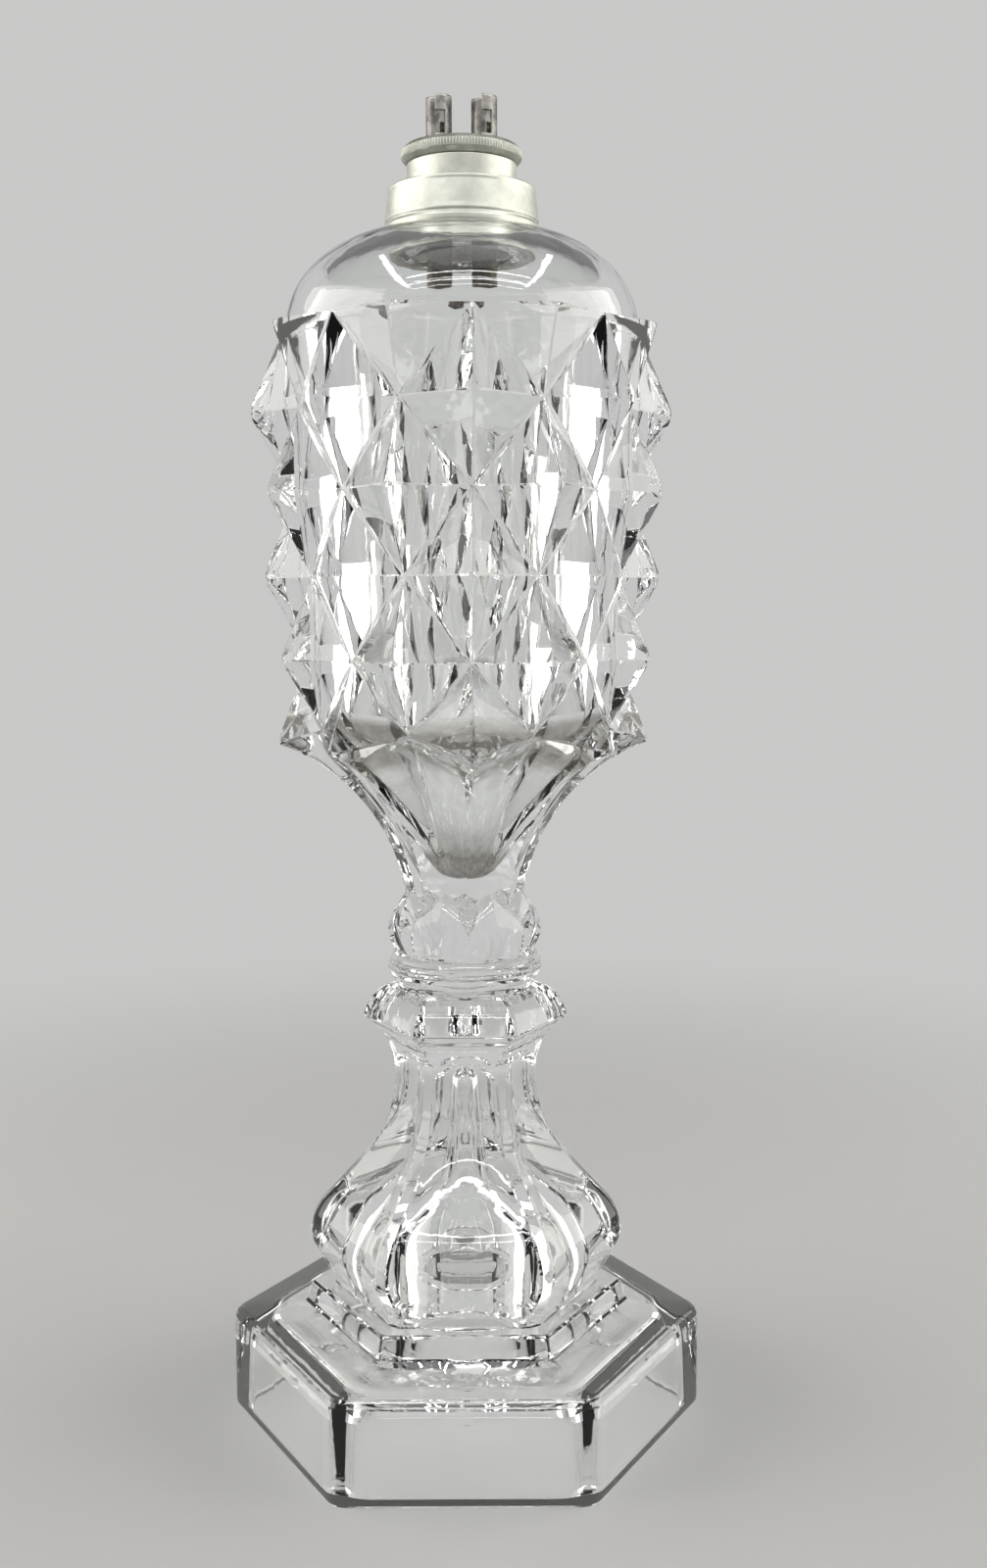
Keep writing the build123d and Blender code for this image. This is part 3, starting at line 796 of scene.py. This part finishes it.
def pedestal_rings(angles):
    rings = []
    hexagon_angles = angles_of(hex_ring(20.0, 0))
    wafer = ((14.9, WAFER_TOP - 0.1), (15.5, WAFER_TOP), (16.0, 104.1), (16.45, 103.4), (16.3, 103.15),
             (16.62, 102.9), (16.78, 102.3), (16.6, 102.1), (16.8, 101.9), (16.88, 101.3), (16.68, 101.1),
             (16.8, 100.9), (16.6, 100.1), (16.1, 99.3), (15.2, 98.85), (15.02, 98.5), (14.9, 97.8),
             (14.75, 97.35))
    for k, (r, z) in enumerate(wafer):
        rings.append(round_ring(r, z, blend_angles(angles, hexagon_angles, smooth(k / (len(wafer) - 1)))))
    rings.append(round_ring(14.95, 97.2, hexagon_angles))
    cap = ((15.6, 97.15), (17.4, 96.75), (19.1, 95.8), (20.6, 94.3), (21.8, 92.4), (22.35, 90.9), (22.5, 90.1),
           (22.3, 89.6), (21.5, 88.9), (20.75, 88.3), (20.45, 87.8), (20.2, 87.4), (19.2, 86.8), (18.2, 85.9))
    for r, z in cap:
        rings.append(hex_ring(r, z, rib=0.9, blunt=0.2))
    rings.append(hex_ring(17.2, 84.4, rib=1.8, blunt=0.25))
    rings.append(hex_ring(16.85, 83.6, rib=2.3, blunt=0.3))
    rib_line = curve_points(list(reversed(RIB_KNOTS)), 90)
    for k, (r, z) in enumerate(rib_line):
        if z > 83.2 or (z < 76.5 and k % 2):
            continue
        rise = (z - BELL_FOOT) / (81.8 - BELL_FOOT)
        depth = 0.03 + 1.9 * smooth((rise - 0.25) / 0.55)
        rings.append(hex_ring(r, z, rib=RIB_WIDTH - 0.6 * smooth((z - 81.5) / 2), hollow=depth))
    rings.append(hex_ring(30.0, BELL_FOOT - 0.35, hollow=0.2))
    rings.append(hex_ring(29.4, BELL_FOOT - 0.5, hollow=0.1))
    rings.append(hex_ring(29.2, STEP_TOP + 0.3, hollow=0.0))
    rings.append(hex_ring(29.5, STEP_TOP, hollow=0.0))
    return rings


def base_rings():
    """Step, plinth, hollow underside and core."""
    rings = []
    for flats, z, corner in ((58.6, STEP_TOP, 1.6), (59.6, STEP_TOP - 0.12, 1.8), (60.6, STEP_TOP - 0.5, 2.0),
                             (61.3, STEP_TOP - 1.3, 2.0), (61.9, STEP_TOP - 2.4, 2.0),
                             (62.5, STEP_FOOT + 0.7, 2.0), (62.8, STEP_FOOT + 0.3, 2.2),
                             (63.8, STEP_FOOT, 2.5), (70.0, STEP_FOOT - 0.48, 3.0), (80.0, STEP_FOOT - 1.0, 4.0),
                             (PLINTH_FLATS - 3.4, PLINTH_HEIGHT + 0.08, 4.3),
                             (PLINTH_FLATS - 2.2, PLINTH_HEIGHT - 0.2, 4.4),
                             (PLINTH_FLATS - 1.1, PLINTH_HEIGHT - 0.75, 4.5),
                             (PLINTH_FLATS - 0.3, PLINTH_HEIGHT - 1.7, 4.5),
                             (PLINTH_FLATS, PLINTH_HEIGHT - 3.0, 4.5), (PLINTH_FLATS, 12.0, 4.5),
                             (PLINTH_FLATS, 1.2, 4.5), (PLINTH_FLATS - 0.2, 0.5, 4.5),
                             (PLINTH_FLATS - 0.8, 0.06, 4.4), (PLINTH_FLATS - 1.6, 0.0, 4.3)):
        rings.append(plate_ring(flats, z, corner))
    inner = PLINTH_FLATS - 2 * PLINTH_WALL
    ceiling = PLINTH_HEIGHT - PLINTH_ROOF
    for flats, z, corner in ((inner + 0.6, 0.0, CAVITY_CORNER + 0.2), (inner, 0.5, CAVITY_CORNER),
                             (inner - 0.4, 3.0, CAVITY_CORNER), (inner - 2.2, ceiling - 2.4, CAVITY_CORNER),
                             (inner - 2.9, ceiling - 1.0, CAVITY_CORNER), (inner - 4.6, ceiling - 0.15, 8.5),
                             (inner - 8.0, ceiling, 9.0), (50.0, ceiling, 12.0)):
        rings.append(plate_ring(flats, z, corner))
    even = angles_of(rings[-1])
    for r, z in curve_points(CORE_KNOTS, 46):
        rings.append(round_ring(r, z, even))
    return rings


def make_glass():
    places, faces, top, bottom = make_lattice()
    above, below = font_rings(top, bottom)
    below += pedestal_rings(angles_of(below[-1]))
    below += base_rings()
    points = [tuple(p) for p in places]
    for rings in (above + [top], [bottom] + below):
        more, more_faces = ring_stack(rings)
        shift = len(points)
        points += [tuple(p) for p in more]
        faces += [tuple(index + shift for index in face) for face in more_faces]
    tip = len(points) - AROUND
    faces.append(tuple(reversed(range(tip, tip + AROUND))))
    first = len(places)
    faces.append(tuple(range(first, first + AROUND)))
    mesh = mesh_from("glass body", points, faces)
    work = bmesh.new()
    work.from_mesh(mesh)
    bmesh.ops.remove_doubles(work, verts=work.verts, dist=1e-6)
    bmesh.ops.recalc_face_normals(work, faces=work.faces)
    open_edges = [edge for edge in work.edges if len(edge.link_faces) != 2]
    print("glass body: open edges", len(open_edges), "volume ml", work.calc_volume() * 1e6,
          "faces", len(work.faces))
    work.to_mesh(mesh)
    work.free()
    flat_facets(mesh, 0.85)
    return add_piece("glass_body", mesh, GLASS, "lamp", ("font", "joining_wafer", "pedestal"))


make_glass()

# Turned and rolled metal

def rounded(profile, radius, steps=3):
    """A closed profile with every corner rounded, by the given radius or as far as its sides allow."""
    result = []
    count = len(profile)
    for k in range(count):
        before, corner, after = (Vector(profile[(k + step) % count]) for step in (-1, 0, 1))
        first, second = before - corner, after - corner
        reach = min(radius, first.length * 0.45, second.length * 0.45)
        start = corner + first.normalized() * reach
        stop = corner + second.normalized() * reach
        for i in range(steps + 1):
            t = i / steps
            result.append(start * (1 - t) ** 2 + corner * (2 * t * (1 - t)) + stop * t ** 2)
    return result


def turned_mesh(name, profile, count=112, sway=None, closed=True):
    """A line of radius and height turned about the lamp's axis: a closed ring, or an open line between two discs."""
    points, faces = [], []
    rows = len(profile)
    for r, z in profile:
        for i in range(count):
            angle = 360 * i / count
            dr, dz = sway(angle, r, z) if sway else (0.0, 0.0)
            points.append(place(angle, r + dr, z + dz))
    for row in range(rows if closed else rows - 1):
        after = (row + 1) % rows
        for i in range(count):
            j = (i + 1) % count
            faces.append((row * count + i, after * count + i, after * count + j, row * count + j))
    if not closed:
        faces.append(tuple(range(count)))
        faces.append(tuple(reversed(range((rows - 1) * count, rows * count))))
    mesh = mesh_from(name, points, faces)
    work = bmesh.new()
    work.from_mesh(mesh)
    bmesh.ops.recalc_face_normals(work, faces=work.faces)
    work.to_mesh(mesh)
    work.free()
    return mesh


def with_modifier(mesh, kind, **settings):
    """The mesh after one modifier."""
    holder = bpy.data.objects.new("work", mesh)
    bpy.context.scene.collection.objects.link(holder)
    modifier = holder.modifiers.new(kind, kind)
    for key, value in settings.items():
        setattr(modifier, key, value)
    bpy.context.view_layer.update()
    graph = bpy.context.evaluated_depsgraph_get()
    made = bpy.data.meshes.new_from_object(holder.evaluated_get(graph))
    made.name = mesh.name
    bpy.data.objects.remove(holder)
    return made


def make_collar():
    """Foot bead, groove, broad band with a raised lip, and the narrow upper cylinder."""
    profile = rounded([
        (14.65, 258.0), (16.15, 258.0), (16.4, 258.35), (16.4, 259.35), (16.05, 259.85), (16.05, 260.1),
        (16.34, 260.45), (16.2, 261.4), (15.62, 266.35), (15.7, 266.75), (15.62, 267.15), (15.1, 267.32),
        (12.0, 267.3), (11.7, 267.5), (11.62, 268.0), (11.6, 272.28), (10.1, 272.28), (10.1, 266.3),
        (14.65, 266.3),
    ], 0.22)

    def dents(angle, r, z):
        turn = math.radians(angle)
        return (0.035 * math.sin(2 * turn + 0.6) + 0.02 * math.sin(5 * turn + z)) * smooth((r - 10.5) / 2), 0.0

    mesh = turned_mesh("collar metal", profile, 128, dents)
    flat_facets(mesh)
    return add_piece("collar_metal", mesh, PEWTER, "lamp", ("collar",))


def make_plaster():
    """The plaster bed between collar and glass neck, uneven where it squeezed out."""
    def lumps(angle, r, z):
        turn = math.radians(angle)
        rough = math.sin(7 * turn + 1) * 0.5 + math.sin(13 * turn + 2.2) * 0.3 + math.sin(29 * turn) * 0.2
        return 0.0, 0.12 * rough if z < 259 else 0.0

    profile = rounded([(13.72, 258.25), (14.55, 258.25), (14.55, 266.1), (13.72, 266.1)], 0.15)
    mesh = turned_mesh("plaster bed", profile, 96, lumps)
    flat_facets(mesh)
    return add_piece("plaster_bed", mesh, PLASTER, "lamp", ("collar_plaster",))


def make_residue():
    """The film that old oil has left on the reservoir's floor, as a thin cup in the skin of the glass."""
    line = [(max(r, 0.5), z) for r, z in RESERVOIR_FLOOR]
    outer = [(r + 0.16, z - 0.12) for r, z in line]
    inner = [(r + 0.1, z - 0.07) for r, z in line]
    mesh = turned_mesh("oil film", outer + inner[::-1], 72)
    flat_facets(mesh)
    return add_piece("oil_film", mesh, RESIDUE, "lamp")


TUBE_RADIUS = 2.73
TUBE_X = 4.75
RIM_FOOT = 273.45
RIM_TOP = 275.05


def rim_tree():
    """Small upright beads all round a rim, as a milling tool leaves them."""
    build = TreeBuilder("Milled rim",
                        [("Base", "Geometry", None), ("Beads", "Int", 126), ("Rim radius", "Float", 0.0127),
                         ("Bead radius", "Float", 0.0002), ("Bead height", "Float", 0.0013),
                         ("Middle height", "Float", 0.0), ("Material", "Material", None)],
                        [("Mesh", "Geometry")])
    circle = build.node("GeometryNodeMeshCircle", Vertices=build.into("Beads"), Radius=build.into("Rim radius"))
    bead = build.node("GeometryNodeMeshCylinder", Vertices=6, Radius=build.into("Bead radius"),
                      Depth=build.into("Bead height"))
    spot = build.node("GeometryNodeInputPosition").outputs[0]
    turn = build.node("FunctionNodeAlignRotationToVector", {"axis": "X"}, Vector=spot)
    beads = build.node("GeometryNodeInstanceOnPoints", Points=circle.outputs[0], Instance=bead.outputs[0],
                       Rotation=turn.outputs[0])
    lifted = build.node("GeometryNodeSetPosition", Geometry=beads.outputs[0],
                        Offset=build.xyz(0.0, 0.0, build.into("Middle height")))
    build.result(lifted.outputs[0], build.into("Material"))
    return build


def post_mesh(name, x, y, radius, low_z, high_z, count=48):
    """A plain round rod, used to cut holes."""
    points, faces = [], []
    for z in (low_z, high_z):
        for i in range(count):
            px, py, _ = place(360 * i / count, radius, 0)
            points.append((x + px, y + py, z))
    for i in range(count):
        j = (i + 1) % count
        faces.append((i, j, count + j, count + i))
    faces.append(tuple(reversed(range(count))))
    faces.append(tuple(range(count, 2 * count)))
    return mesh_from(name, points, faces)


def drill(mesh, posts):
    for post in posts:
        cutter = bpy.data.objects.new("cutter", post)
        bpy.context.scene.collection.objects.link(cutter)
        mesh = with_modifier(mesh, "BOOLEAN", object=cutter, operation="DIFFERENCE", solver="EXACT")
        bpy.data.objects.remove(cutter)
    return mesh


def make_burner_cap():
    """The dull disc with its milled rim, domed top, undercut and plug."""
    crown = [(11.95 * math.cos(math.radians(a)), 275.78 + 0.75 * math.sin(math.radians(a)))
             for a in (4, 20, 38, 56, 72, 84)]
    profile = rounded([
        (8.6, 270.8), (8.6, 265.4), (9.7, 265.4), (10.02, 265.75), (10.02, 272.38),
        (11.6, 272.4), (11.85, 272.6), (12.45, 273.25), (12.62, 273.5), (12.66, 274.95), (12.5, 275.2),
    ], 0.12)
    profile = [(0.4, 270.8), (8.2, 270.8)] + [tuple(p) for p in profile[3:]] + crown + [(0.4, 276.53)]
    mesh = turned_mesh("burner cap", profile, 128, closed=False)
    posts = [post_mesh("tube hole", side * TUBE_X, 0, TUBE_RADIUS + 0.03, 264.0, 280.0) for side in (-1, 1)]
    posts.append(post_mesh("vent hole", 0, 6.4, 0.7, 264.0, 280.0, 24))
    mesh = drill(mesh, posts)
    flat_facets(mesh)
    cap = add_piece("burner_disc", mesh, DULL_PEWTER, "burner", ("burner_cap",))
    start = bpy.data.meshes.new("rim start")
    rim = run_tree(start, rim_tree(), "milled rim", Beads=126, Rim_radius=12.58 * MM, Bead_radius=0.2 * MM,
                   Bead_height=1.35 * MM, Middle_height=(RIM_FOOT + 0.8) * MM, Material=DULL_PEWTER)
    flat_facets(rim)
    add_piece("milled_rim", rim, DULL_PEWTER, "burner")
    return cap


def make_tube(name, x, node, seam_angle, low_side):
    """Sheet tin rolled to a tube with a lapped seam, an uneven mouth and a pick slot beside the seam."""
    slot_angles, hole_angles = (0, 48), (381, 408)
    slot_low, hole_top, slot_top = TUBE_TOP - 8.0, TUBE_TOP - 5.7, TUBE_TOP - 3.2
    turns = sorted(set(list(range(0, 409, 6)) + [3, 48, 381, 408, 411]))
    heights = [TUBE_FOOT, TUBE_FOOT + 1, 262.0, 274.0, 276.2, slot_low, slot_low + 0.4, hole_top,
               slot_top - 0.4, slot_top, TUBE_TOP - 1.6, TUBE_TOP - 0.5, TUBE_TOP]
    points, faces = [], []
    for turn in turns:
        tuck = 0.34 * smooth((turn - 330) / 34)
        for z in heights:
            drop = low_side * turn / 360 * smooth((z - TUBE_TOP + 1.7) / 1.7)
            spot = Vector(place(seam_angle + turn, TUBE_RADIUS - tuck, z - drop))
            points.append((spot.x + x, spot.y, spot.z))
    rows = len(heights)
    for i in range(len(turns) - 1):
        for k in range(rows - 1):
            in_slot = slot_angles[0] <= turns[i] < slot_angles[1] and slot_low <= heights[k] < slot_top
            in_hole = hole_angles[0] <= turns[i] < hole_angles[1] and slot_low <= heights[k] < hole_top
            if not in_slot and not in_hole:
                faces.append((i * rows + k, (i + 1) * rows + k, (i + 1) * rows + k + 1, i * rows + k + 1))
    mesh = mesh_from(name, points, faces)
    mesh = with_modifier(mesh, "SOLIDIFY", thickness=0.3 * MM, offset=-1)
    flat_facets(mesh)
    return add_piece(name, mesh, TIN, "burner", (node,))


def braid_tree():
    """Round strands wound both ways about a core."""
    build = TreeBuilder("Wick braid",
                        [("Base", "Geometry", None), ("Strands", "Int", 8), ("Winding radius", "Float", 0.00175),
                         ("Strand radius", "Float", 0.0004), ("Length", "Float", 0.0367),
                         ("Turns", "Float", 4.0), ("Material", "Material", None)],
                        [("Mesh", "Geometry")])
    circle = build.node("GeometryNodeCurvePrimitiveCircle", {"mode": "RADIUS"}, Resolution=6,
                        Radius=build.into("Strand radius"))
    index = build.node("GeometryNodeInputIndex").outputs[0]
    step = build.math("DIVIDE", 2 * math.pi, build.into("Strands"))
    spots = build.node("GeometryNodeMeshLine", {"mode": "OFFSET"}, Count=build.into("Strands"),
                       Offset=(0, 0, 0))
    turn = build.xyz(0.0, 0.0, build.math("MULTIPLY", index, step))
    join = build.node("GeometryNodeJoinGeometry")
    for reverse in (False, True):
        path = build.node("GeometryNodeCurveSpiral", Resolution=14, Rotations=build.into("Turns"),
                          Start_Radius=build.into("Winding radius"), End_Radius=build.into("Winding radius"),
                          Height=build.into("Length"), Reverse=reverse)
        strand = build.node("GeometryNodeCurveToMesh", Curve=path.outputs[0], Profile_Curve=circle.outputs[0],
                            Fill_Caps=True)
        wound = build.node("GeometryNodeInstanceOnPoints", Points=spots.outputs[0],
                           Instance=strand.outputs[0], Rotation=turn)
        build.feed(join.inputs[0], wound.outputs[0])
    build.feed(join.inputs[0], build.into("Base"))
    build.result(join.outputs[0], build.into("Material"))
    return build


def make_wick(name, x, node, body, braid):
    length = WICK_TOP - TUBE_FOOT - 0.9
    core = post_mesh("wick core", 0, 0, 1.62, 0, length, 16)
    mesh = run_tree(core, braid, name, Strands=8, Winding_radius=1.72 * MM, Strand_radius=0.4 * MM,
                    Length=length * MM, Turns=4.0, Material=COTTON)
    mesh.transform(Matrix.Translation((x * MM, 0, (TUBE_FOOT + 0.45) * MM)))
    flat_facets(mesh)
    return add_piece(name, mesh, COTTON, body, (node,))


make_collar()
make_plaster()
make_residue()
make_burner_cap()
make_tube("left_tube", -TUBE_X, "wick_tube_left", -16, 0.6)
make_tube("right_tube", TUBE_X, "wick_tube_right", -11, 0.95)
BRAID = braid_tree()
make_wick("left_wick_braid", -TUBE_X, "wick_left", "left_wick", BRAID)
make_wick("right_wick_braid", TUBE_X, "wick_right", "right_wick", BRAID)
for node in ("tube_solder_left", "tube_solder_right"):
    for held in frame["nodes"][node].material_slots:
        held.material = SOLDER


# Floor, backdrop, lamps and camera

STAGE_TONE = (0.78, 0.78, 0.775)
BACKGROUND_TONE = (0.58, 0.58, 0.575)


def stage_bowl():
    """A pale floor that curves up to pale walls all round; far from the lamp it shows at one even tone."""
    profile = [(0.0, 0.0), (0.15, 0.0), (0.3, 0.0), (0.5, 0.0), (0.8, 0.0), (1.1, 0.0)]
    for k in range(1, 9):
        turn = math.radians(90 * k / 8)
        profile.append((1.1 + 0.5 * math.sin(turn), 0.5 * (1 - math.cos(turn))))
    profile.append((1.6, 1.3))
    points, faces = [], []
    count = 72
    for r, z in profile:
        points += [place(360 * i / count, max(r, 0.001), z) for i in range(count)]
    for row in range(len(profile) - 1):
        for i in range(count):
            j = (i + 1) % count
            faces.append((row * count + i, row * count + j, (row + 1) * count + j, (row + 1) * count + i))
    faces.append(tuple(range(count)))
    mesh = mesh_from("stage", points, faces, 1.0)
    for face in mesh.polygons:
        face.use_smooth = True
    stage = bpy.data.objects.new("stage", mesh)
    bpy.context.scene.collection.objects.link(stage)
    material, tree, shader = new_material("pale stage")
    shader.inputs["Base Color"].default_value = (*STAGE_TONE, 1)
    shader.inputs["Roughness"].default_value = 0.9
    where = make_node(tree, "ShaderNodeTexCoord").outputs["Object"]
    spot = make_node(tree, "ShaderNodeSeparateXYZ", Vector=where)
    level = make_node(tree, "ShaderNodeCombineXYZ", X=spot.outputs["X"], Y=spot.outputs["Y"])
    reach = make_node(tree, "ShaderNodeVectorMath", {"operation": "LENGTH"}, Vector=level.outputs[0])
    far = ramp(tree, reach.outputs["Value"], 0.16, 0.5)
    path = make_node(tree, "ShaderNodeLightPath")
    seen = path.outputs["Is Camera Ray"]
    for name in ("Is Glossy Ray", "Is Transmission Ray"):
        both = make_node(tree, "ShaderNodeMath", {"operation": "MAXIMUM"})
        tree.links.new(seen, both.inputs[0])
        tree.links.new(path.outputs[name], both.inputs[1])
        seen = both.outputs[0]
    share = make_node(tree, "ShaderNodeMath", {"operation": "MULTIPLY"})
    tree.links.new(seen, share.inputs[0])
    tree.links.new(far, share.inputs[1])
    glow = make_node(tree, "ShaderNodeEmission", Color=(*BACKGROUND_TONE, 1), Strength=1.0)
    blend = tree.nodes.new("ShaderNodeMixShader")
    tree.links.new(share.outputs[0], blend.inputs[0])
    tree.links.new(shader.outputs[0], blend.inputs[1])
    tree.links.new(glow.outputs[0], blend.inputs[2])
    tree.links.new(blend.outputs[0], tree.nodes["Material Output"].inputs["Surface"])
    mesh.materials.append(material)


def softbox(name, place_at, aim, width, height, power, colour=(1, 1, 1), turn=0.0, only_shines=False):
    data = bpy.data.lights.new(name, "AREA")
    data.shape = "RECTANGLE"
    data.size, data.size_y = width, height
    data.energy = power
    data.color = colour
    lamp = bpy.data.objects.new(name, data)
    lamp.location = place_at
    lamp.visible_camera = False
    lamp.visible_diffuse = not only_shines
    facing = (Vector(aim) - Vector(place_at)).to_track_quat("-Z", "Y").to_matrix()
    lamp.rotation_euler = (facing @ Matrix.Rotation(math.radians(turn), 3, "Z")).to_euler()
    bpy.context.scene.collection.objects.link(lamp)


def set_world(level, overhead):
    """A pale surround up to a little above the lamp, and a darker ceiling."""
    world = bpy.data.worlds.new("studio")
    bpy.context.scene.world = world
    world.use_nodes = True
    tree = world.node_tree
    where = make_node(tree, "ShaderNodeTexCoord").outputs["Generated"]
    height = make_node(tree, "ShaderNodeSeparateXYZ", Vector=where).outputs["Z"]
    strength = ramp(tree, height, 0.3, 0.6, level, overhead)
    background = tree.nodes["Background"]
    background.inputs["Color"].default_value = (1, 1, 1, 1)
    tree.links.new(strength, background.inputs["Strength"])


def set_camera():
    distance, height, base_turn = 0.3617, 0.1814, math.radians(0.8)
    pitch, yaw, roll = math.radians(6.306), math.radians(1.014 - 0.8), math.radians(-0.128)
    forward = Vector((math.sin(yaw) * math.cos(pitch), math.cos(yaw) * math.cos(pitch), -math.sin(pitch)))
    right = Vector((math.cos(yaw), -math.sin(yaw), 0))
    up = right.cross(forward)
    turned_right = right * math.cos(roll) + up * math.sin(roll)
    turned_up = up * math.cos(roll) - right * math.sin(roll)
    data = bpy.data.cameras.new("camera")
    data.sensor_width = 36
    data.lens = 1694.3 * 36 / 1600
    data.clip_start = 0.01
    camera = bpy.data.objects.new("camera", data)
    location = Vector((distance * math.sin(base_turn), -distance * math.cos(base_turn), height))
    axes = Matrix((turned_right, turned_up, -forward)).transposed()
    camera.matrix_world = Matrix.Translation(location) @ axes.to_4x4()
    bpy.context.scene.collection.objects.link(camera)
    bpy.context.scene.camera = camera


stage_bowl()
softbox("softbox left", (-0.62, -0.03, 0.31), (0, 0, 0.18), 0.82, 0.56, 2.8, (1, 0.975, 0.93))
softbox("softbox right", (0.62, 0.0, 0.30), (0, 0, 0.18), 0.78, 0.56, 2.5, (1, 0.975, 0.93))
softbox("softbox top", (0.05, -0.1, 0.95), (0, 0, 0.1), 0.6, 0.45, 0.9)
# Thin light strips that only show as reflections: two before the lamp and one to each side
DOME = (0, 0, 0.25)
softbox("strip front high", (0.04, -0.43, 0.755), DOME, 0.84, 0.02, 0.9, only_shines=True)
softbox("strip front low", (0.045, -0.53, 0.665), DOME, 0.92, 0.02, 0.9, only_shines=True)
softbox("strip left", (-0.37, -0.21, 0.74), DOME, 0.03, 0.6, 1.0, turn=51.8, only_shines=True)
softbox("strip right", (0.405, -0.125, 0.745), DOME, 0.03, 0.57, 1.0, turn=-59.1, only_shines=True)
set_world(0.42, 0.18)
set_camera()
bpy.context.scene.view_settings.view_transform = "Standard"
